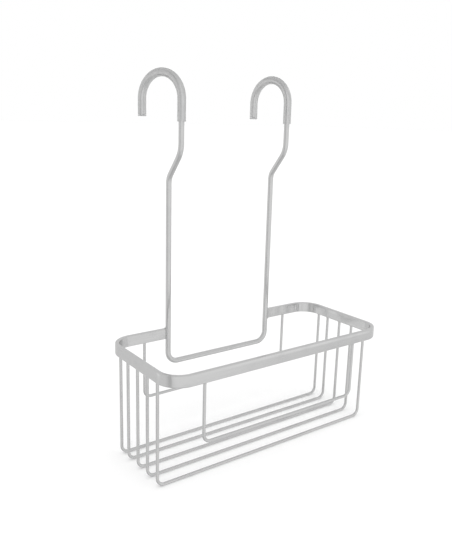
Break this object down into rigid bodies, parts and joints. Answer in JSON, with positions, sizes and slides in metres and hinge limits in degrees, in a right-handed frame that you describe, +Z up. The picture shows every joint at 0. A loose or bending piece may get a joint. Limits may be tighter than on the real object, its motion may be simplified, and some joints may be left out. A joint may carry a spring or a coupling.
{
  "type": "hanging shower caddy",
  "caption": "Shower basket of bent wires under a flat-bar rim, on a tall wire hanger whose clear-sleeved hooks hang over a rail or screen.",
  "frame": {"origin": "middle of the rail line: halfway between the hanger's legs, in the plane of its long legs, level with the undersides of the two hook sleeves where they rest on a rail", "axes": "+Z up, +Y towards the wall or screen that the caddy hangs on, +X to the right seen from the front"},
  "size_m": [0.29, 0.1594, 0.4045],
  "materials": {
    "polished_steel": "polished",
    "clear_sleeve": "clear flexible tube"
  },
  "bodies": {
    "root": {"hanger_wire": "polished_steel", "rim_band": "polished_steel", "front_guard_wire": "polished_steel", "rear_guard_wire": "polished_steel", "floor_wire_1": "polished_steel", "floor_wire_2": "polished_steel", "floor_wire_3": "polished_steel", "floor_wire_4": "polished_steel", "floor_wire_5": "polished_steel", "hook_sleeve_left": "clear_sleeve", "hook_sleeve_right": "clear_sleeve"}
  },
  "joints": []
}
